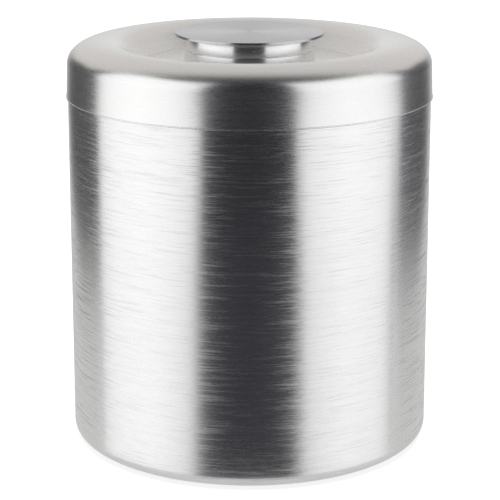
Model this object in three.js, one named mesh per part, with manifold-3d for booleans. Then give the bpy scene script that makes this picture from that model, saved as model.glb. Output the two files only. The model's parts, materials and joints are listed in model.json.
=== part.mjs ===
// Insulated round ice bucket with a lift-off lid.
// Millimetres, +Z up. The origin is the centre of the footprint, on the surface the bucket stands on.
//
// Bucket: drawn aluminium shell, moulded liner hung from the shell's in-turned top edge,
// foam between the two, and one central screw from below that pulls the liner down.
// Lid: spun aluminium cover over a moulded plug filled with foam, and one central screw
// that runs up through a clamp sleeve into the knob.

import * as THREE from 'three';
import { mergeVertices } from 'three/addons/utils/BufferGeometryUtils.js';
import Module from 'manifold-3d';

const wasm = await Module();
wasm.setup();

// ---------------------------------------------------------------- driving dimensions
const GAP = 0.3; // clearance kept between neighbouring pieces

// bucket shell
const BODY_R = 115.0; // outer radius of the straight wall
const SHELL_T = 1.2; // sheet thickness
const SHELL_Z0 = 0.8; // underside of the shell's standing rim
const SHELL_TOP = 222.0; // top of the shell, just under the lid's edge
const CORNER_R = 8.0; // outer radius of the bottom corner
const BASE_STEP = 1.5; // height of the base panel above the standing rim
const POCKET_R = 11.5; // radius of the screw pocket in the base
const POCKET_H = 6.0; // depth of that pocket
const FLANGE_IN_R = 108.0; // inner radius of the shell's in-turned top edge

// liner
const WELL_TOP_R = 100.8; // inner radius of the ice well at its mouth
const WELL_BOT_R = 98.3; // inner radius of the ice well near its floor
const WELL_FLOOR = 16.5; // height of the ice well's floor
const LINER_T = 2.2; // wall thickness
const RIM_TOP = 225.5; // top of the liner's rim
const RIM_R = 112.6; // outer radius of the liner's rim

// lid
const LID_R = 115.55; // outer radius of the lid's skirt
const LIP_R = 116.2; // outer radius of the thin turned-out edge
const LIP_Z = SHELL_TOP + GAP; // underside of that edge
const LID_T = 1.0; // sheet thickness
const CREST_R = 93.35; // radius of the lid's highest ring
const CREST_Z = 256.9; // its height
const SHOULDER_H = 13.7; // drop from the crest to the straight skirt
const SHOULDER_N = 2.14; // roundness of the shoulder (2 is an ellipse)
const DISH_R = 68.2; // radius of the flat floor of the lid's dish
const DISH_Z = 242.7; // its height
const PLUG_R = 99.3; // outer radius of the plug under the lid
const PLUG_Z = 208.0; // underside of the plug

// knob
const CAP_R = 47.1; // radius of the flat knob cap
const CAP_T = 1.5; // its thickness
const KNOB_TOP = 261.9; // its top face
const NECK_TOP_R = 39.3; // outer radius of the tapered neck under the cap
const NECK_BOT_R = 41.6; // and at the lid
const NECK_T = 1.6; // wall thickness

// facets round a full turn
const N_BIG = 40;
const N_MID = 32;
const N_SMALL = 16;

// ---------------------------------------------------------------- helpers
const v = (r, z) => new THREE.Vector2(r, z);

// Turns a profile of (radius, height) points about the Z axis. A profile that touches the
// axis at both ends stays open there; any other profile is closed on itself.
function turned(points, segments) {
  let list = points.map((p) => v(p[0], p[1]));
  let area = 0;
  for (let i = 0; i < list.length; i++) {
    const a = list[i];
    const b = list[(i + 1) % list.length];
    area += a.x * b.y - b.x * a.y;
  }
  if (area < 0) list = list.reverse();
  const onAxis = list[0].x === 0 && list[list.length - 1].x === 0;
  if (!onAxis) {
    // a profile that touches the axis is rotated so that it starts and ends there
    const i = list.findIndex((p, k) => p.x === 0 && list[(k + list.length - 1) % list.length].x === 0);
    if (i >= 0) list = list.slice(i).concat(list.slice(0, i));
    else list.push(list[0].clone());
  }
  const g = new THREE.LatheGeometry(list, segments);
  g.rotateX(Math.PI / 2);
  return tidy(g);
}

// Keeps only positions, merges shared vertices and drops faces that have collapsed.
function tidy(geometry) {
  const bare = new THREE.BufferGeometry();
  bare.setAttribute('position', geometry.getAttribute('position').clone());
  if (geometry.index) bare.setIndex(geometry.index.clone());
  const g = mergeVertices(bare, 1e-4);
  const kept = [];
  for (let i = 0; i < g.index.count; i += 3) {
    const a = g.index.getX(i);
    const b = g.index.getX(i + 1);
    const c = g.index.getX(i + 2);
    if (a !== b && b !== c && c !== a) kept.push(a, b, c);
  }
  g.setIndex(kept);
  if (volume(g) < 0) {
    for (let i = 0; i < kept.length; i += 3) [kept[i + 1], kept[i + 2]] = [kept[i + 2], kept[i + 1]];
    g.setIndex(kept);
  }
  return g;
}

function volume(g) {
  const p = g.getAttribute('position');
  const a = new THREE.Vector3();
  const b = new THREE.Vector3();
  const c = new THREE.Vector3();
  let sum = 0;
  for (let i = 0; i < g.index.count; i += 3) {
    a.fromBufferAttribute(p, g.index.getX(i));
    b.fromBufferAttribute(p, g.index.getX(i + 1));
    c.fromBufferAttribute(p, g.index.getX(i + 2));
    sum += a.dot(b.cross(c)) / 6;
  }
  return sum;
}

function solid(g) {
  return new wasm.Manifold(new wasm.Mesh({
    numProp: 3,
    vertProperties: new Float32Array(g.getAttribute('position').array),
    triVerts: new Uint32Array(g.index.array),
  }));
}

function cut(target, ...tools) {
  let body = solid(target);
  for (const tool of tools) body = body.subtract(solid(tool));
  const m = body.getMesh();
  const g = new THREE.BufferGeometry();
  g.setAttribute('position', new THREE.BufferAttribute(new Float32Array(m.vertProperties), 3));
  g.setIndex(new THREE.BufferAttribute(new Uint32Array(m.triVerts), 1));
  return g;
}

// Points on an arc in the profile plane, angles in degrees.
function arc(cr, cz, rr, rz, from, to, steps, power = 1) {
  const out = [];
  for (let i = 0; i <= steps; i++) {
    const t = THREE.MathUtils.degToRad(from + ((to - from) * i) / steps);
    const c = Math.cos(t);
    const s = Math.sin(t);
    out.push([cr + rr * Math.sign(c) * Math.abs(c) ** power, cz + rz * Math.sign(s) * Math.abs(s) ** power]);
  }
  return out;
}

// The same polyline moved sideways by d, to the right of its direction of travel.
function offset(points, d) {
  return points.map((p, i) => {
    const a = points[Math.max(i - 1, 0)];
    const b = points[Math.min(i + 1, points.length - 1)];
    const n1 = i > 0 ? unit(p[1] - a[1], a[0] - p[0]) : null;
    const n2 = i < points.length - 1 ? unit(b[1] - p[1], p[0] - b[0]) : null;
    const m = n1 && n2 ? unit(n1[0] + n2[0], n1[1] + n2[1]) : n1 || n2;
    const k = n1 && n2 ? d / Math.max(0.6, m[0] * n1[0] + m[1] * n1[1]) : d;
    return [p[0] + m[0] * k, p[1] + m[1] * k];
  });
}
const unit = (x, y) => [x / Math.hypot(x, y), y / Math.hypot(x, y)];

// ---------------------------------------------------------------- materials
const paint = (color, roughness, metalness) => new THREE.MeshStandardMaterial({ color, roughness, metalness });
const aluminium = () => paint(0xc9cacc, 0.3, 1.0);
const steel = () => paint(0xb4b6b8, 0.35, 1.0);
const brass = () => paint(0xc8a55a, 0.35, 1.0);
const plastic = () => paint(0xdbdbd6, 0.4, 0.0);
const darkPlastic = () => paint(0x2b2c2e, 0.5, 0.0);
const foam = () => paint(0xe9e4d2, 0.9, 0.0);
const rubber = () => paint(0x1c1c1d, 0.8, 0.0);

const bucket = new THREE.Group();
bucket.name = 'ice_bucket';
const base = new THREE.Group(); // everything that stands still
const lid = new THREE.Group(); // everything that lifts off together
bucket.add(base, lid);

function piece(group, name, geometry, material) {
  const mesh = new THREE.Mesh(geometry, material);
  mesh.name = name;
  group.add(mesh);
  return mesh;
}

// ---------------------------------------------------------------- bucket shell
const panelZ = SHELL_Z0 + BASE_STEP;
const pocketZ = panelZ + POCKET_H;
const cornerR = BODY_R - CORNER_R;
const cornerZ = SHELL_Z0 + CORNER_R;
piece(base, 'outer_shell', turned([
  [3.0, pocketZ],
  [POCKET_R - 0.5, pocketZ],
  [POCKET_R, panelZ],
  [104.8, panelZ],
  [105.3, SHELL_Z0],
  ...arc(cornerR, cornerZ, CORNER_R, CORNER_R, -90, 0, 4),
  [BODY_R, SHELL_TOP - 0.4],
  [BODY_R - 0.4, SHELL_TOP],
  [FLANGE_IN_R, SHELL_TOP],
  [FLANGE_IN_R, SHELL_TOP - SHELL_T],
  [BODY_R - SHELL_T, SHELL_TOP - SHELL_T],
  ...arc(cornerR, cornerZ, CORNER_R - SHELL_T, CORNER_R - SHELL_T, 0, -90, 3),
  [106.1, SHELL_Z0 + SHELL_T],
  [105.6, panelZ + SHELL_T],
  [POCKET_R + SHELL_T, panelZ + SHELL_T],
  [POCKET_R + SHELL_T - 0.5, pocketZ + SHELL_T],
  [3.0, pocketZ + SHELL_T],
], N_BIG), aluminium());

piece(base, 'foot_ring', turned([
  [93.0, 0.4], [93.4, 0], [103.9, 0], [104.3, 0.4], [104.3, panelZ - GAP], [93.0, panelZ - GAP],
], N_BIG), rubber());

// ---------------------------------------------------------------- liner and its foam
const linerOutTop = WELL_TOP_R + LINER_T;
const linerOutBot = WELL_BOT_R + LINER_T;
const wellCorner = 9.8;
const bossZ = pocketZ + SHELL_T + GAP; // underside of the liner's screw boss
const linerUnder = WELL_FLOOR - 2.5;
piece(base, 'inner_liner', turned([
  [0, WELL_FLOOR],
  ...arc(WELL_BOT_R - wellCorner, WELL_FLOOR + wellCorner, wellCorner, wellCorner, -90, 0, 3),
  [WELL_TOP_R, RIM_TOP - 0.7],
  [WELL_TOP_R + 0.7, RIM_TOP],
  [RIM_R - 0.6, RIM_TOP],
  [RIM_R, RIM_TOP - 0.6],
  [RIM_R, SHELL_TOP + 1.0],
  [linerOutTop, SHELL_TOP + 1.0],
  ...arc(linerOutBot - 12, linerUnder + 12, 12, 12, 0, -90, 3),
  [8.0, linerUnder],
  [8.0, bossZ],
  [4.1, bossZ],
  [4.1, linerUnder + 0.3],
  [0, linerUnder + 0.3],
], N_BIG), plastic());

piece(base, 'liner_rim_gasket', turned([
  [FLANGE_IN_R + 0.4, SHELL_TOP + GAP], [RIM_R - 0.4, SHELL_TOP + GAP],
  [RIM_R - 0.4, SHELL_TOP + 0.7], [FLANGE_IN_R + 0.4, SHELL_TOP + 0.7],
], N_BIG), rubber());

const foamR = BODY_R - SHELL_T - 0.5;
piece(base, 'wall_insulation', turned([
  [95.0, linerUnder],
  [foamR, linerUnder],
  [foamR, SHELL_TOP - SHELL_T - 0.4],
  [linerOutTop + 0.6, SHELL_TOP - SHELL_T - 0.4],
  [linerOutBot + 0.7, linerUnder + 12],
  [linerOutBot + 0.7, linerUnder + 9],
  [98.5, linerUnder + 3],
], N_BIG), foam());

piece(base, 'base_insulation', turned([
  [POCKET_R + SHELL_T + 0.4, panelZ + SHELL_T + GAP],
  [109.8, panelZ + SHELL_T + GAP],
  [foamR, cornerZ],
  [foamR, linerUnder - GAP],
  [POCKET_R + SHELL_T + 0.4, linerUnder - GAP],
], N_BIG), foam());

// ---------------------------------------------------------------- base screw
piece(base, 'liner_insert', turned([
  [2.6, bossZ + 0.2], [3.7, bossZ + 0.2], [3.7, linerUnder - 0.1], [2.6, linerUnder - 0.1],
], N_SMALL), brass());

piece(base, 'base_washer', turned([
  [2.8, pocketZ - GAP - 1.2], [9.5, pocketZ - GAP - 1.2], [9.5, pocketZ - GAP], [2.8, pocketZ - GAP],
], N_SMALL), steel());

// Pan-head screw standing on its head's top face (at z0), with a hexagon socket in the head.
function screw(z0, headR, headH, shaftR, top, socketR, socketH) {
  const blank = turned([
    [0, z0], [headR - 0.9, z0], [headR, z0 + 0.9], [headR, z0 + headH],
    [shaftR, z0 + headH], [shaftR, top - 0.6], [shaftR - 0.6, top], [0, top],
  ], N_SMALL);
  const socket = new THREE.CylinderGeometry(socketR, socketR, socketH * 2, 6);
  socket.rotateX(Math.PI / 2);
  socket.translate(0, 0, z0);
  return cut(blank, tidy(socket));
}
const baseWasherZ = pocketZ - GAP - 1.2;
piece(base, 'base_screw', screw(baseWasherZ - GAP - 3.2, 4.75, 3.2, 2.3, linerUnder - 0.2, 1.75, 1.8), steel());

// ---------------------------------------------------------------- lid cover
// The outer line runs from the turned-out edge up the skirt, over the crest and down to the dish.
const shoulder = arc(CREST_R, CREST_Z - SHOULDER_H, LID_R - CREST_R, SHOULDER_H, 0, 90, 6, 2 / SHOULDER_N);
const inner1 = arc(CREST_R, CREST_Z - 32, 32, 32, 98, 107, 1);
const last = inner1[inner1.length - 1];
const deg = Math.PI / 180;
const c2 = [last[0] + 18 * Math.sin(17 * deg), last[1] - 18 * Math.cos(17 * deg)];
const inner2 = arc(c2[0], c2[1], 18, 18, 90 + 17, 90 + 46, 2).slice(1);
const outline = [
  [LID_R, LIP_Z + 1.1],
  ...shoulder,
  ...inner1,
  ...inner2,
  [DISH_R + 0.6, DISH_Z + 0.5],
  [DISH_R - 0.5, DISH_Z],
];
const underside = offset(outline, -LID_T);
underside[0] = [LID_R - LID_T, LIP_Z];
underside[underside.length - 1] = [DISH_R - 0.2, DISH_Z - LID_T];
piece(lid, 'lid_cover', turned([
  [LIP_R, LIP_Z],
  [LIP_R, LIP_Z + 0.5],
  ...outline,
  [3.0, DISH_Z],
  [3.0, DISH_Z - LID_T],
  ...underside.reverse(),
], N_BIG), aluminium());

// ---------------------------------------------------------------- plug under the lid
const plugIn = PLUG_R - 3.5;
const flangeZ = RIM_TOP + GAP;
const sealLo = PLUG_Z + 7.9;
const sealHi = sealLo + 4.2;
piece(lid, 'lid_liner', turned([
  [11.0, PLUG_Z],
  [PLUG_R - 3.8, PLUG_Z],
  [PLUG_R - 1.1, PLUG_Z + 1.1],
  [PLUG_R, PLUG_Z + 3.8],
  [PLUG_R, sealLo],
  [PLUG_R - 1.5, sealLo],
  [PLUG_R - 1.5, sealHi],
  [PLUG_R, sealHi],
  [PLUG_R, flangeZ],
  [LID_R - LID_T - 0.6, flangeZ],
  [LID_R - LID_T - 0.6, flangeZ + 2],
  [plugIn, flangeZ + 2],
  [plugIn, PLUG_Z + 2],
  [13.0, PLUG_Z + 2],
  [13.0, PLUG_Z + 10],
  [3.0, PLUG_Z + 10],
  [3.0, PLUG_Z + 8],
  [11.0, PLUG_Z + 8],
], N_BIG), plastic());

piece(lid, 'lid_seal', turned([
  [PLUG_R - 1.2, sealLo + 0.3],
  [PLUG_R + 0.7, sealLo + 0.3],
  [PLUG_R + 1.1, (sealLo + sealHi) / 2],
  [PLUG_R + 0.7, sealHi - 0.3],
  [PLUG_R - 1.2, sealHi - 0.3],
], N_BIG), rubber());

// foam fills the lid up to the cover's underside
const foamTop = offset(outline, -(LID_T + 0.45)).filter((p, i) => p[1] > flangeZ + 6 && i % 2 === 1 && i < 12);
const foamRoof = DISH_Z - LID_T - GAP;
piece(lid, 'lid_insulation', turned([
  [13.4, PLUG_Z + 2.3],
  [plugIn - 0.4, PLUG_Z + 2.3],
  [plugIn - 0.4, flangeZ + 2.4],
  [LID_R - LID_T - 1.2, flangeZ + 2.4],
  [LID_R - LID_T - 1.2, foamTop[0][1] - 8],
  ...foamTop,
  [DISH_R + 1.0, foamRoof],
  [6.9, foamRoof],
  [6.9, PLUG_Z + 10.4],
  [13.4, PLUG_Z + 10.4],
], N_BIG), foam());

// ---------------------------------------------------------------- lid screw stack
piece(lid, 'clamp_sleeve', turned([
  [3.1, PLUG_Z + 10.3], [6.5, PLUG_Z + 10.3], [6.5, foamRoof], [3.1, foamRoof],
], N_SMALL), steel());

const lidWasherTop = PLUG_Z + 8 - GAP;
piece(lid, 'lid_washer', turned([
  [3.1, lidWasherTop - 1.2], [10.0, lidWasherTop - 1.2], [10.0, lidWasherTop], [3.1, lidWasherTop],
], N_SMALL), steel());

const lidHead = lidWasherTop - 1.2 - GAP - 3.3;
piece(lid, 'lid_screw', screw(lidHead, 5.5, 3.3, 2.6, DISH_Z + 11.0, 2.3, 2.0), steel());

piece(lid, 'screw_cap', turned([
  [0, PLUG_Z - 1.8], [13.0, PLUG_Z - 1.8], [13.5, PLUG_Z - 1.3], [13.5, PLUG_Z - 0.3],
  [10.6, PLUG_Z - 0.3], [10.6, PLUG_Z + 2.2], [9.2, PLUG_Z + 2.2], [9.2, PLUG_Z + 0.2], [0, PLUG_Z + 0.2],
], N_MID), plastic());

// ---------------------------------------------------------------- knob
const capUnder = KNOB_TOP - CAP_T;
piece(lid, 'knob_gasket', turned([
  [20, DISH_Z + GAP], [NECK_BOT_R - 0.6, DISH_Z + GAP], [NECK_BOT_R - 0.6, DISH_Z + 0.8], [20, DISH_Z + 0.8],
], N_MID), rubber());

const neckZ0 = DISH_Z + 1.1;
const neckZ1 = capUnder - GAP;
const grooveZ = 251.5; // fine turned groove round the neck
const neckR = (z) => NECK_BOT_R + ((NECK_TOP_R - NECK_BOT_R) * (z - neckZ0)) / (neckZ1 - neckZ0);
piece(lid, 'knob_neck', turned([
  [NECK_BOT_R, neckZ0],
  [neckR(grooveZ - 0.5), grooveZ - 0.5],
  [neckR(grooveZ) - 0.35, grooveZ],
  [neckR(grooveZ + 0.3), grooveZ + 0.3],
  [NECK_TOP_R, neckZ1],
  [NECK_TOP_R - NECK_T, neckZ1],
  [NECK_BOT_R - NECK_T, neckZ0],
], N_BIG), aluminium());

piece(lid, 'knob_core', turned([
  [0, neckZ1 - 0.2],
  [NECK_TOP_R - NECK_T - 0.4, neckZ1 - 0.2],
  [NECK_BOT_R - NECK_T - 0.4, neckZ0],
  [5.1, neckZ0],
  [5.1, DISH_Z + 13.0],
  [0, DISH_Z + 13.0],
], N_MID), darkPlastic());

piece(lid, 'knob_insert', turned([
  [2.9, neckZ0 + 0.2], [4.8, neckZ0 + 0.2], [4.8, DISH_Z + 12.5], [2.9, DISH_Z + 12.5],
], N_SMALL), brass());

piece(lid, 'knob_cap', turned([
  [0, capUnder],
  [CAP_R - 0.25, capUnder],
  [CAP_R, capUnder + 0.25],
  [CAP_R, KNOB_TOP - 0.25],
  [CAP_R - 0.25, KNOB_TOP],
  [0.8, KNOB_TOP],
  [0, KNOB_TOP - 0.4],
], N_BIG), aluminium());

export default bucket;
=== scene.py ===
import bpy
import json
import math
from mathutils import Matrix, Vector


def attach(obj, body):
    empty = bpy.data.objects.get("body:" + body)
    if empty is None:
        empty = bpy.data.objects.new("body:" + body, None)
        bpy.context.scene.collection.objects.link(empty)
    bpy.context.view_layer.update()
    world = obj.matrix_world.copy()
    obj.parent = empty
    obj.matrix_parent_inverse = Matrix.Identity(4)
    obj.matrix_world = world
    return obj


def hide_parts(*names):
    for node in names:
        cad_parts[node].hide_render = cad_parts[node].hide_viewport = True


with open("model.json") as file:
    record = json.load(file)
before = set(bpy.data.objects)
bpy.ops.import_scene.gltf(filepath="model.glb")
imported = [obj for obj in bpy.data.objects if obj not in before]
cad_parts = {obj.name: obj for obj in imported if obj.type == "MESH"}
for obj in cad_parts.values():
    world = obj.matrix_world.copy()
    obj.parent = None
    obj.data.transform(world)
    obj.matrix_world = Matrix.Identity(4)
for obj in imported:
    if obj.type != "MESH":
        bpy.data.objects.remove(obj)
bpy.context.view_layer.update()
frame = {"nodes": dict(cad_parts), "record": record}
scene = bpy.context.scene

MM = 0.001
SEG = 288  # facets round a full turn of a large visible piece


# ------------------------------------------------------------------ sizes, in millimetres
GAP, BODY_R, SHELL_T, SHELL_TOP = 0.3, 115.0, 1.2, 222.0
PANEL, POCKET = 2.3, 8.3
CREST_R, CREST_Z, LID_R, LIP_R, LIP_Z, DISH_R, DISH_Z = 93.35, 256.9, 115.55, 116.2, 222.3, 68.2, 242.7
PLUG_R, PLUG_Z, RIM_TOP, RIM_R = 99.3, 208.0, 225.5, 112.6
CAP_R, KNOB_TOP, CAP_UNDER = 47.1, 261.9, 260.4

# ------------------------------------------------------------------ turned meshes
def rounded(profile, steps=4):
    """A closed profile of (r, z) or (r, z, fillet) points, with each stated corner rounded."""
    out = []
    n = len(profile)
    for i, p in enumerate(profile):
        if len(p) == 2 or p[2] <= 0:
            out.append((p[0], p[1]))
            continue
        a, b = profile[i - 1], profile[(i + 1) % n]
        u = Vector((a[0] - p[0], a[1] - p[1]))
        v = Vector((b[0] - p[0], b[1] - p[1]))
        cut = min(p[2], 0.48 * u.length, 0.48 * v.length)
        u.normalize()
        v.normalize()
        s, e, c = Vector(p[:2]) + u * cut, Vector(p[:2]) + v * cut, Vector(p[:2])
        for k in range(steps + 1):
            t = k / steps
            q = s * (1 - t) ** 2 + c * 2 * t * (1 - t) + e * t * t
            out.append((q.x, q.y))
    return out


def arc(cr, cz, rr, rz, start, end, steps, power=1.0):
    out = []
    for i in range(steps + 1):
        t = math.radians(start + (end - start) * i / steps)
        c, s = math.cos(t), math.sin(t)
        out.append((cr + rr * math.copysign(abs(c) ** power, c), cz + rz * math.copysign(abs(s) ** power, s)))
    return out


def turned(name, profile, seg=SEG, sharp=34):
    """A mesh of revolution about Z from a profile in millimetres that is closed on itself."""
    pts = [(max(r, 0.0) * MM, z * MM) for r, z in profile]
    area = sum(a[0] * b[1] - b[0] * a[1] for a, b in zip(pts, pts[1:] + pts[:1]))
    if area < 0:
        pts.reverse()
    verts, rings = [], []
    for r, z in pts:
        if r < 1e-7:
            rings.append([len(verts)] * seg)
            verts.append((0.0, 0.0, z))
        else:
            rings.append(list(range(len(verts), len(verts) + seg)))
            verts += [(r * math.cos(2 * math.pi * k / seg), r * math.sin(2 * math.pi * k / seg), z) for k in range(seg)]
    faces = []
    n = len(rings)
    for i in range(n):
        a, b = rings[i], rings[(i + 1) % n]
        if a[0] == a[1] and b[0] == b[1]:
            continue
        for k in range(seg):
            m = (k + 1) % seg
            quad = [a[k], a[m], b[m], b[k]]
            face = [q for j, q in enumerate(quad) if q != quad[j - 1]]
            if len(face) > 2:
                faces.append(face)
    mesh = bpy.data.meshes.new(name)
    mesh.from_pydata(verts, [], faces)
    mesh.validate()
    mesh.update()
    for f in mesh.polygons:
        f.use_smooth = True
    mesh.set_sharp_from_angle(angle=math.radians(sharp))
    obj = bpy.data.objects.new(name, mesh)
    scene.collection.objects.link(obj)
    return obj


def place(obj, node, material):
    obj.data.materials.append(material)
    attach(obj, BODY[node])
    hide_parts(node)
    return obj


BODY = {n: b for b, ns in frame["record"]["behaviour"]["bodies"].items() for n in ns}


# ------------------------------------------------------------------ materials
class Tree:
    """A material's node tree with short ways to add and link nodes."""

    def __init__(self, name):
        self.mat = bpy.data.materials.new(name)
        self.mat.use_nodes = True
        self.t = self.mat.node_tree
        self.t.nodes.clear()
        self.out = self.add("ShaderNodeOutputMaterial")
        self.bsdf = self.add("ShaderNodeBsdfPrincipled")
        self.link(self.bsdf.outputs[0], self.out.inputs["Surface"])
        self.coord = self.add("ShaderNodeTexCoord").outputs["Object"]

    def add(self, kind, **values):
        node = self.t.nodes.new(kind)
        for k, v in values.items():
            setattr(node, k, v)
        return node

    def link(self, a, b):
        self.t.links.new(a, b)

    def math(self, op, a, b=0.0, c=None):
        node = self.add("ShaderNodeMath", operation=op)
        for i, x in enumerate((a, b) if c is None else (a, b, c)):
            if isinstance(x, (int, float)):
                node.inputs[i].default_value = x
            else:
                self.link(x, node.inputs[i])
        return node.outputs[0]

    def ramp(self, value, low, high, out_low, out_high):
        node = self.add("ShaderNodeMapRange", interpolation_type="SMOOTHSTEP")
        node.inputs["From Min"].default_value = low
        node.inputs["From Max"].default_value = high
        node.inputs["To Min"].default_value = out_low
        node.inputs["To Max"].default_value = out_high
        self.link(value, node.inputs["Value"])
        return node.outputs["Result"]

    def noise(self, vector, scale, detail=2.0, rough=0.5, w=None):
        node = self.add("ShaderNodeTexNoise", noise_dimensions="4D" if w is not None else "3D")
        node.inputs["Scale"].default_value = scale
        node.inputs["Detail"].default_value = detail
        node.inputs["Roughness"].default_value = rough
        self.link(vector, node.inputs["Vector"])
        if w is not None:
            self.link(w, node.inputs["W"])
        return node.outputs["Fac"]

    def mix(self, fac, a, b):
        node = self.add("ShaderNodeMix", data_type="RGBA")
        self.link(fac, node.inputs["Factor"])
        node.inputs[6].default_value = (*a, 1)
        node.inputs[7].default_value = (*b, 1)
        return node.outputs[2]

    def bump(self, height, strength, distance, normal=None):
        node = self.add("ShaderNodeBump")
        node.inputs["Strength"].default_value = strength
        node.inputs["Distance"].default_value = distance
        self.link(height, node.inputs["Height"])
        if normal is not None:
            self.link(normal, node.inputs["Normal"])
        return node.outputs["Normal"]


def brushed(name, low, high, ax, ay, thick, length, tone, spread, lean, bump, scratch=0.0, crease=None):
    """Metal brushed round the Z axis. ax and ay are the highlight's widths round the turn and over the profile.
    thick and length are the scratches' pitches in metres."""
    t = Tree(name)
    xyz = t.add("ShaderNodeSeparateXYZ")
    t.link(t.coord, xyz.inputs[0])
    x, y, z = xyz.outputs
    r = t.math("SQRT", t.math("ADD", t.math("MULTIPLY", x, x), t.math("MULTIPLY", y, y)))

    def grain(pitch, run, detail):
        v = t.add("ShaderNodeCombineXYZ")
        t.link(t.math("MULTIPLY", x, 1 / run), v.inputs[0])
        t.link(t.math("MULTIPLY", r, 1 / pitch), v.inputs[1])
        t.link(t.math("MULTIPLY", z, 1 / pitch), v.inputs[2])
        return t.noise(v.outputs[0], 1.0, detail, 0.62, w=t.math("MULTIPLY", y, 1 / run))

    long = t.math("SUBTRACT", grain(thick, length, 2.0), 0.5)
    short = t.math("SUBTRACT", grain(thick * 0.9, length * 0.06, 2.0), 0.5)
    broad = t.math("SUBTRACT", grain(thick * 5.0, length * 2.5, 2.0), 0.5)
    cloud = t.math("SUBTRACT", t.noise(t.coord, 18.0, 3.0, 0.55), 0.5)
    both = t.math("ADD", t.math("MULTIPLY", long, 0.45), t.math("ADD", t.math("MULTIPLY", short, 0.70), t.math("MULTIPLY", broad, 0.12)))
    tint = t.mix(t.ramp(both, -tone, tone, 0.0, 1.0), low, high)
    # painted shade: the base colour is darkened in a thin ring at the crease radius, standing in for the shade in the
    # crease
    if crease:
        off = t.math("ABSOLUTE", t.math("SUBTRACT", r, crease[0]))
        painted_crease_shade = t.add("ShaderNodeMix", data_type="RGBA", blend_type="MULTIPLY")
        t.link(t.ramp(off, 0.0, crease[1], crease[2], 0.0), painted_crease_shade.inputs["Factor"])
        t.link(tint, painted_crease_shade.inputs[6])
        painted_crease_shade.inputs[7].default_value = (0.3, 0.29, 0.28, 1)
        tint = painted_crease_shade.outputs[2]
    t.link(tint, t.bsdf.inputs["Base Color"])
    rough = math.sqrt(math.sqrt(ax * ay))
    drift = t.math("MULTIPLY", cloud, 0.10 * rough)
    deep = t.ramp(grain(thick * 1.5, length * 0.22, 1.0), 0.50, 0.70, 0.0, scratch * rough)
    streak = t.math("ADD", t.math("MULTIPLY", both, spread * rough), deep)
    wear = t.math("ADD", t.math("ADD", streak, drift), rough)
    t.link(t.math("MAXIMUM", wear, 0.06), t.bsdf.inputs["Roughness"])
    t.bsdf.inputs["Metallic"].default_value = 1.0
    t.bsdf.inputs["Anisotropic"].default_value = min(1.0, (1 - ax / ay) / 0.9)
    t.bsdf.inputs["Anisotropic Rotation"].default_value = 0.25
    tangent = t.add("ShaderNodeTangent", direction_type="RADIAL", axis="Z")
    t.link(tangent.outputs[0], t.bsdf.inputs["Tangent"])
    # each scratch leans a little round the turn, so the reflections' edges break up line by line
    turn = t.add("ShaderNodeCombineXYZ")
    t.link(t.math("DIVIDE", t.math("MULTIPLY", y, -1.0), t.math("MAXIMUM", r, 0.001)), turn.inputs[0])
    t.link(t.math("DIVIDE", x, t.math("MAXIMUM", r, 0.001)), turn.inputs[1])
    scaled = t.add("ShaderNodeVectorMath", operation="SCALE")
    t.link(turn.outputs[0], scaled.inputs[0])
    t.link(t.math("MULTIPLY", both, lean), scaled.inputs["Scale"])
    geo = t.add("ShaderNodeNewGeometry")
    added = t.add("ShaderNodeVectorMath", operation="ADD")
    t.link(geo.outputs["Normal"], added.inputs[0])
    t.link(scaled.outputs[0], added.inputs[1])
    unit = t.add("ShaderNodeVectorMath", operation="NORMALIZE")
    t.link(added.outputs[0], unit.inputs[0])
    t.link(t.bump(both, bump, 0.00003, unit.outputs[0]), t.bsdf.inputs["Normal"])
    return t.mat


def moulded(name, low, high, rough, grain_scale, strength, coat=0.0, subsurface=0.0):
    """Moulded plastic or rubber: a fine grain, slow colour drift and small rubbed patches."""
    t = Tree(name)
    fine = t.noise(t.coord, grain_scale, 3.0, 0.6)
    slow = t.noise(t.coord, 22.0, 3.0, 0.55)
    t.link(t.mix(t.ramp(slow, 0.35, 0.68, 0.0, 1.0), low, high), t.bsdf.inputs["Base Color"])
    mixed = t.math("ADD", t.math("MULTIPLY", t.math("SUBTRACT", slow, 0.5), 0.22), t.math("MULTIPLY", t.math("SUBTRACT", fine, 0.5), 0.14))
    t.link(t.math("ADD", mixed, rough), t.bsdf.inputs["Roughness"])
    t.bsdf.inputs["Coat Weight"].default_value = coat
    t.link(t.bump(fine, strength, 0.0001), t.bsdf.inputs["Normal"])
    return t.mat


def cellular(name, low, high):
    """Moulded foam: small beads pressed together."""
    t = Tree(name)
    bead = t.add("ShaderNodeTexVoronoi", feature="DISTANCE_TO_EDGE")
    bead.inputs["Scale"].default_value = 330.0
    t.link(t.coord, bead.inputs["Vector"])
    edge = t.ramp(bead.outputs["Distance"], 0.0, 0.16, 0.0, 1.0)
    t.link(t.mix(edge, low, high), t.bsdf.inputs["Base Color"])
    t.link(t.math("SUBTRACT", 0.95, t.math("MULTIPLY", edge, 0.15)), t.bsdf.inputs["Roughness"])
    t.link(t.bump(edge, 0.5, 0.0004), t.bsdf.inputs["Normal"])
    return t.mat


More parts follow.
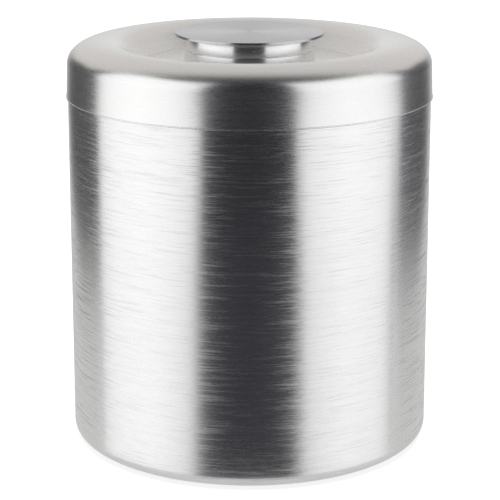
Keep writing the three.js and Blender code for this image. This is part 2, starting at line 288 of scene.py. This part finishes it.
CREASE = (DISH_R * MM, 0.00035, 0.5)  # a fine ring of painted shade: darker base colour in the crease round the dish floor
M = {
    "shell": brushed("brushed_shell", (0.84, 0.84, 0.842), (0.965, 0.965, 0.965), 0.028, 0.13, 0.00042, 0.110, 0.30, 1.2, 0.05, 0.08, 0.8),
    "lid": brushed("brushed_lid", (0.87, 0.868, 0.865), (0.965, 0.963, 0.96), 0.046, 0.12, 0.00040, 0.080, 0.34, 0.7, 0.03, 0.04, 0.15, CREASE),
    "neck": brushed("turned_neck", (0.90, 0.90, 0.905), (0.97, 0.97, 0.975), 0.030, 0.07, 0.00035, 0.050, 0.34, 1.0, 0.05, 0.06, 0.2),
    "knob": brushed("turned_knob", (0.57, 0.565, 0.585), (0.67, 0.665, 0.69), 0.05, 0.11, 0.00040, 0.060, 0.34, 0.9, 0.05, 0.05, 0.2),
    "liner": moulded("moulded_liner", (0.74, 0.74, 0.72), (0.80, 0.80, 0.785), 0.36, 900.0, 0.22, coat=0.15),
    "core": moulded("moulded_core", (0.025, 0.025, 0.027), (0.04, 0.04, 0.042), 0.55, 700.0, 0.3),
    "rubber": moulded("soft_rubber", (0.018, 0.018, 0.019), (0.034, 0.034, 0.035), 0.7, 1500.0, 0.45),
    "foam": cellular("bead_foam", (0.60, 0.57, 0.48), (0.84, 0.81, 0.72)),
    "steel": brushed("turned_steel", (0.46, 0.465, 0.47), (0.66, 0.665, 0.67), 0.08, 0.16, 0.0003, 0.02, 0.34, 0.8, 0.08, 0.08),
    "brass": brushed("turned_brass", (0.60, 0.45, 0.20), (0.80, 0.63, 0.31), 0.09, 0.16, 0.0003, 0.02, 0.34, 0.8, 0.08, 0.08),
}
KEPT = {
    "foam": ("wall_insulation", "base_insulation", "lid_insulation"),
    "rubber": ("liner_rim_gasket", "knob_gasket"),
    "steel": ("clamp_sleeve", "lid_washer", "lid_screw", "base_washer", "base_screw"),
    "brass": ("liner_insert", "knob_insert"),
    "core": ("knob_core",),
}
for key, names in KEPT.items():
    for n in names:
        slots = frame["nodes"][n].data.materials
        slots.clear()
        slots.append(M[key])

# ------------------------------------------------------------------ bucket
place(turned("shell_skin", rounded([
    (3.0, POCKET), (11.0, POCKET, 0.6), (11.5, PANEL, 0.5), (104.8, PANEL, 0.4), (105.3, 0.8, 0.4),
    *arc(107.0, 8.8, 8.0, 8.0, -90, 0, 18),
    (BODY_R, 60.0), (BODY_R, 130.0),
    (BODY_R, SHELL_TOP, 0.45), (108.0, SHELL_TOP, 0.35), (108.0, SHELL_TOP - SHELL_T, 0.3),
    (BODY_R - SHELL_T, SHELL_TOP - SHELL_T),
    *arc(107.0, 8.8, 6.8, 6.8, 0, -90, 10),
    (106.1, 2.0), (105.6, 3.5), (12.7, 3.5), (12.2, 9.5), (3.0, 9.5),
])), "outer_shell", M["shell"])

place(turned("foot_ring_soft", rounded([
    (93.0, 0.0, 0.5), (95.6, 0.0, 0.1), (96.0, 0.5, 0.1), (96.6, 0.5, 0.1), (97.0, 0.0, 0.1),
    (100.4, 0.0, 0.1), (100.8, 0.5, 0.1), (101.4, 0.5, 0.1), (101.8, 0.0, 0.1),
    (104.3, 0.0, 0.5), (104.3, 2.0), (93.0, 2.0),
], 3), 200), "foot_ring", M["rubber"])

place(turned("liner_tub", rounded([
    (0.0, 16.5), (60.0, 16.5),
    *arc(88.5, 26.3, 9.8, 9.8, -90, 0, 12),
    (99.6, 128.0), (100.8, RIM_TOP - 2.3), (100.8, RIM_TOP, 0.9), (106.2, RIM_TOP, 0.25), (106.5, RIM_TOP - 0.5, 0.2),
    (107.3, RIM_TOP - 0.5, 0.2), (107.6, RIM_TOP, 0.25), (RIM_R, RIM_TOP, 0.8), (RIM_R, RIM_TOP - 2.5, 0.3), (103.0, RIM_TOP - 2.5),
    *arc(88.5, 26.0, 12.0, 12.0, 0, -90, 10),
    (8.0, 14.0), (8.0, 9.8, 0.3), (4.1, 9.8), (4.1, 14.3), (0.0, 14.3),
])), "inner_liner", M["liner"])

# ------------------------------------------------------------------ lid
SKIRT_R = LID_R - 0.45  # the skirt leans in a little towards the shoulder
crown = arc(CREST_R, CREST_Z - 13.7, SKIRT_R - CREST_R, 13.7, 0, 90, 40, 2 / 2.14)
fall1 = arc(CREST_R, CREST_Z - 32, 32, 32, 91.5, 107, 10)
c2 = (fall1[-1][0] + 18 * math.sin(math.radians(17)), fall1[-1][1] - 18 * math.cos(math.radians(17)))
fall2 = arc(c2[0], c2[1], 18, 18, 108.5, 136, 14)
place(turned("lid_skin", rounded([
    (LIP_R, LIP_Z, 0.12), (LIP_R, LIP_Z + 0.5, 0.12), (LID_R + 0.25, LIP_Z + 0.58, 0.08),
    *crown, *fall1, *fall2,
    (DISH_R + 0.1, DISH_Z, 0.35), (3.0, DISH_Z), (3.0, DISH_Z - 1.0), (67.4, DISH_Z - 1.0),
    (76.9, 250.0), (84.0, 254.3), (93.35, 255.9), (100.0, 255.2), (109.0, 250.8), (113.2, 245.6), (114.0, 241.5),
    (114.55, LIP_Z),
])), "lid_cover", M["lid"])

place(turned("lid_plug", rounded([
    (11.0, PLUG_Z, 0.5), (60.0, PLUG_Z), (60.4, PLUG_Z + 0.5, 0.2), (61.6, PLUG_Z + 0.5, 0.2), (62.0, PLUG_Z),
    (95.5, PLUG_Z, 2.0), (PLUG_R, PLUG_Z + 3.8, 2.5), (PLUG_R, 215.9, 0.2), (97.8, 215.9), (97.8, 220.1),
    (PLUG_R, 220.1, 0.2), (PLUG_R, 225.8, 0.6), (113.95, 225.8, 0.5), (113.95, 227.8), (95.8, 227.8),
    (95.8, 210.0), (13.0, 210.0), (13.0, 218.0), (3.0, 218.0), (3.0, 216.0), (11.0, 216.0),
])), "lid_liner", M["liner"])

place(turned("lid_seal_soft", rounded([
    (98.1, 216.2), (100.0, 216.2, 0.4), (100.4, 217.0, 0.3), (99.7, 218.0, 0.4), (100.4, 219.0, 0.3),
    (100.0, 219.8, 0.4), (98.1, 219.8),
], 4)), "lid_seal", M["rubber"])

place(turned("screw_cap_moulded", rounded([
    (0.0, 206.2), (6.0, 206.2), (13.5, 206.2, 0.9), (13.5, 207.7, 0.2), (10.6, 207.7), (10.6, 210.2, 0.3),
    (9.2, 210.2, 0.3), (9.2, 208.2), (0.0, 208.2),
]), 128), "screw_cap", M["liner"])

# ------------------------------------------------------------------ knob
NECK0, NECK1 = 243.8, 260.1


def neck(z):
    return 41.6 - 2.3 * (z - NECK0) / (NECK1 - NECK0)


place(turned("knob_neck_turned", rounded([
    (41.6, NECK0, 0.3), (neck(247), 247.0), (neck(247.2) - 0.2, 247.2, 0.05), (neck(247.4), 247.4),
    (neck(251.1), 251.1, 0.1), (neck(251.5) - 0.3, 251.5, 0.1), (neck(251.9), 251.9, 0.1), (39.3, NECK1, 0.2), (37.7, NECK1), (40.0, NECK0),
], 3), 224), "knob_neck", M["neck"])

place(turned("knob_cap_turned", rounded([
    (0.0, CAP_UNDER), (20.0, CAP_UNDER), (CAP_R, CAP_UNDER, 0.08), (CAP_R - 0.26, KNOB_TOP, 0.08),
    (30.0, KNOB_TOP), (0.9, KNOB_TOP, 0.15), (0.0, KNOB_TOP - 0.4),
], 4), 256), "knob_cap", M["knob"])


# ------------------------------------------------------------------ studio
def stage_plane(name, pts, z, material):
    mesh = bpy.data.meshes.new(name)
    mesh.from_pydata([(x, y, z) for x, y in pts], [], [list(range(len(pts)))])
    obj = bpy.data.objects.new(name, mesh)
    scene.collection.objects.link(obj)
    mesh.materials.append(material)
    return obj


floor_mat = Tree("pale_floor")
floor_mat.bsdf.inputs["Roughness"].default_value = 0.8
floor_mat.bsdf.inputs["Base Color"].default_value = (0.45, 0.45, 0.45, 1)
floor_mat.bsdf.inputs["Emission Color"].default_value = (1, 1, 1, 1)
floor_mat.bsdf.inputs["Emission Strength"].default_value = 0.70
floor = stage_plane("floor", [(-9, -9), (9, -9), (9, 9), (-9, 9)], -0.0002, floor_mat.mat)
floor.visible_glossy = False

card_mat = bpy.data.materials.new("sweep_card")
card_mat.use_nodes = True
nodes = card_mat.node_tree.nodes
nodes.clear()
emit = nodes.new("ShaderNodeEmission")
emit.inputs[0].default_value = (1.0, 0.995, 0.985, 1)
emit.inputs[1].default_value = 0.62
card_mat.node_tree.links.new(emit.outputs[0], nodes.new("ShaderNodeOutputMaterial").inputs[0])
right = [(0.51 * math.sin(math.radians(a)), 0.51 * math.cos(math.radians(a))) for a in (60, 68, 76, 84, 87)]
left = [(-0.50 * math.sin(math.radians(a)), 0.50 * math.cos(math.radians(a))) for a in (82, 76, 68, 60)]
near = [(0.127 * math.sin(math.radians(a)), -0.127 * math.cos(math.radians(a))) for a in range(59, -60, -6)]
outline = [(0.44, 3.0), (0.44, 0.255)] + right + [(0.27, -0.035), (0.117, -0.068)] + near
outline += [(-0.113, -0.064), (-0.27, -0.010)] + left + [(-0.44, 0.255), (-0.44, 3.0)]
card = stage_plane("reflected_table", outline, -0.0004, card_mat)
card.visible_camera = False
card.visible_diffuse = False
card.visible_shadow = False

world = bpy.data.worlds.new("studio")
scene.world = world
world.use_nodes = True
wt = world.node_tree
wt.nodes.clear()


def wn(kind, **values):
    node = wt.nodes.new(kind)
    for k, v in values.items():
        setattr(node, k, v)
    return node


def wm(op, a, b=0.0):
    node = wn("ShaderNodeMath", operation=op)
    for i, v in enumerate((a, b)):
        if isinstance(v, (int, float)):
            node.inputs[i].default_value = v
        else:
            wt.links.new(v, node.inputs[i])
    return node.outputs[0]


sep = wn("ShaderNodeSeparateXYZ")
wt.links.new(wn("ShaderNodeTexCoord").outputs["Generated"], sep.inputs[0])
az = wm("ADD", wm("DIVIDE", wm("ARCTAN2", sep.outputs[0], wm("MULTIPLY", sep.outputs[1], -1.0)), 2 * math.pi), 0.5)
el = wm("ARCSINE", sep.outputs[2])


def by_height(start, end):
    node = wn("ShaderNodeMapRange", interpolation_type="SMOOTHSTEP")
    node.inputs["From Min"].default_value = math.radians(start)
    node.inputs["From Max"].default_value = math.radians(end)
    wt.links.new(el, node.inputs["Value"])
    return node.outputs["Result"]


def blend(fac, a, b):
    node = wn("ShaderNodeMix", data_type="RGBA")
    for v, slot in ((fac, "Factor"), (a, 6), (b, 7)):
        wt.links.new(v, node.inputs[slot])
    return node.outputs[2]


def round_ramp(points, unit):
    node = wn("ShaderNodeValToRGB")
    stops = node.color_ramp.elements
    for d, v in points[1:-1]:
        stops.new((d + 180) / 360)
    stops[0].position, stops[-1].position = 0.0, 1.0
    for stop, (d, v) in zip(stops, points):
        cool = 1.15 if v < 0.08 else 1.0
        stop.color = (v / unit, v / unit, v / unit * cool, 1)
    wt.links.new(az, node.inputs[0])
    return node.outputs[0]


# two tall soft boxes with a dark gap between them behind the camera, dark cards beside the backdrop.
# The gap is narrower high up and its edges fade low down.
back_left = [(-180, 0.76), (-166, 0.62), (-158, 0.36), (-150, 0.14), (-140, 0.085), (-124, 0.085)]
back_right = [(122, 0.075), (138, 0.085), (147, 0.15), (154, 0.40), (164, 0.64), (180, 0.76)]
high = back_left + [  # degrees round from the front, brightness
    (-109.5, 0.11), (-106.5, 0.88), (-101, 1.0), (-92, 1.07), (-72, 1.13), (-52, 1.07), (-40, 1.0), (-30.5, 0.92),
    (-28.6, 0.05), (-18, 0.026), (0, 0.022), (17, 0.026), (27.6, 0.045), (29.5, 0.90), (40, 0.98), (62, 1.08), (80, 1.06),
    (94, 1.02), (104.5, 0.86), (108.5, 0.12),
] + back_right
middle = back_left + [
    (-108.5, 0.12), (-106, 0.86), (-101, 1.0), (-92, 1.07), (-72, 1.10), (-52, 1.04), (-42, 0.97), (-35, 0.90),
    (-32.9, 0.05), (-20, 0.030), (0, 0.025), (18, 0.027), (32.0, 0.045), (34.2, 0.88), (40, 0.96), (62, 1.04), (80, 1.02),
    (90, 0.95), (98, 0.76), (101, 0.13),
] + back_right
low = back_left + [
    (-113, 0.12), (-110.5, 0.82), (-92, 0.98), (-64, 1.0), (-49, 0.86), (-42, 0.72), (-38.6, 0.57), (-35, 0.33),
    (-32, 0.17), (-28.6, 0.10), (-25, 0.074), (-15, 0.055), (0, 0.051), (19.5, 0.062), (26, 0.090), (29.3, 0.17),
    (32.6, 0.33), (39.3, 0.67), (49.6, 0.83), (64, 0.95), (92, 0.92), (105, 0.70),
] + back_right[-4:]
walls = blend(by_height(-11.2, -10.2), blend(by_height(-22.0, -14.0), round_ramp(low, 2.0), round_ramp(middle, 2.0)), round_ramp(high, 2.0))
height = round_ramp([  # where each panel ends, in degrees of elevation
    (-180, 26), (-164, 6), (-150, 10), (-139, 18), (-125, 19), (-112, 40), (-95, 50), (-35, 53), (-28, 56), (0, 60),
    (28, 56), (35, 53), (95, 46), (108, 36), (122, 19), (139, 18), (150, 10), (164, 6), (180, 26),
], 90.0)
above = wm("SUBTRACT", wm("MULTIPLY", el, 180 / math.pi), wm("MULTIPLY", height, 90.0))
roof = wn("ShaderNodeValToRGB")  # brightness overhead, from the front to the back
stops = roof.color_ramp.elements
dim, full = (0.026, 0.025, 0.028), (0.66, 0.638, 0.618)
for k in range(3):
    stops.new(0.5)
for stop, (pos, f) in zip(stops, ((0.0, 0.0), (0.47, 0.05), (0.56, 0.42), (0.72, 0.90), (1.0, 1.0))):
    stop.position = pos
    stop.color = (*(d + (u - d) * f for d, u in zip(dim, full)), 1)
wt.links.new(wm("ADD", wm("MULTIPLY", sep.outputs[1], 0.5), 0.5), roof.inputs[0])
double = wn("ShaderNodeVectorMath", operation="SCALE")
wt.links.new(walls, double.inputs[0])
double.inputs["Scale"].default_value = 2.0
top = wn("ShaderNodeMapRange", interpolation_type="SMOOTHSTEP")
top.inputs["From Min"].default_value = -4.0
top.inputs["From Max"].default_value = 4.0
wt.links.new(above, top.inputs["Value"])
mix = wn("ShaderNodeMix", data_type="RGBA")
wt.links.new(top.outputs["Result"], mix.inputs["Factor"])
wt.links.new(double.outputs[0], mix.inputs[6])
wt.links.new(roof.outputs[0], mix.inputs[7])
light = wn("ShaderNodeBackground")
wt.links.new(mix.outputs[2], light.inputs[0])
pale = wn("ShaderNodeBackground")
pale.inputs[0].default_value = (1, 1, 1, 1)
both = wn("ShaderNodeMixShader")
wt.links.new(wn("ShaderNodeLightPath").outputs["Is Camera Ray"], both.inputs[0])
wt.links.new(light.outputs[0], both.inputs[1])
wt.links.new(pale.outputs[0], both.inputs[2])
wt.links.new(both.outputs[0], wn("ShaderNodeOutputWorld").inputs[0])

data = bpy.data.lights.new("overhead", "SUN")
data.energy, data.angle = 2.4, math.radians(50)
overhead = bpy.data.objects.new("overhead", data)
overhead.location = (0, 0, 2)
overhead.visible_glossy = False
scene.collection.objects.link(overhead)

# ------------------------------------------------------------------ camera
cam = bpy.data.objects.new("camera", bpy.data.cameras.new("camera"))
scene.collection.objects.link(cam)
scene.camera = cam
cam.data.sensor_width = 36.0
cam.data.lens = 1838 / 500 * 36
cam.data.shift_x, cam.data.shift_y = 0.0009, -0.114
cam.location = (0, -10.0 * 0.115, 3.811 * 0.115)
cam.rotation_euler = (math.radians(90 - 13.741), 0, 0)
cam.data.clip_start, cam.data.clip_end = 0.01, 50.0

scene.view_settings.view_transform = "Standard"
scene.view_settings.look = "None"
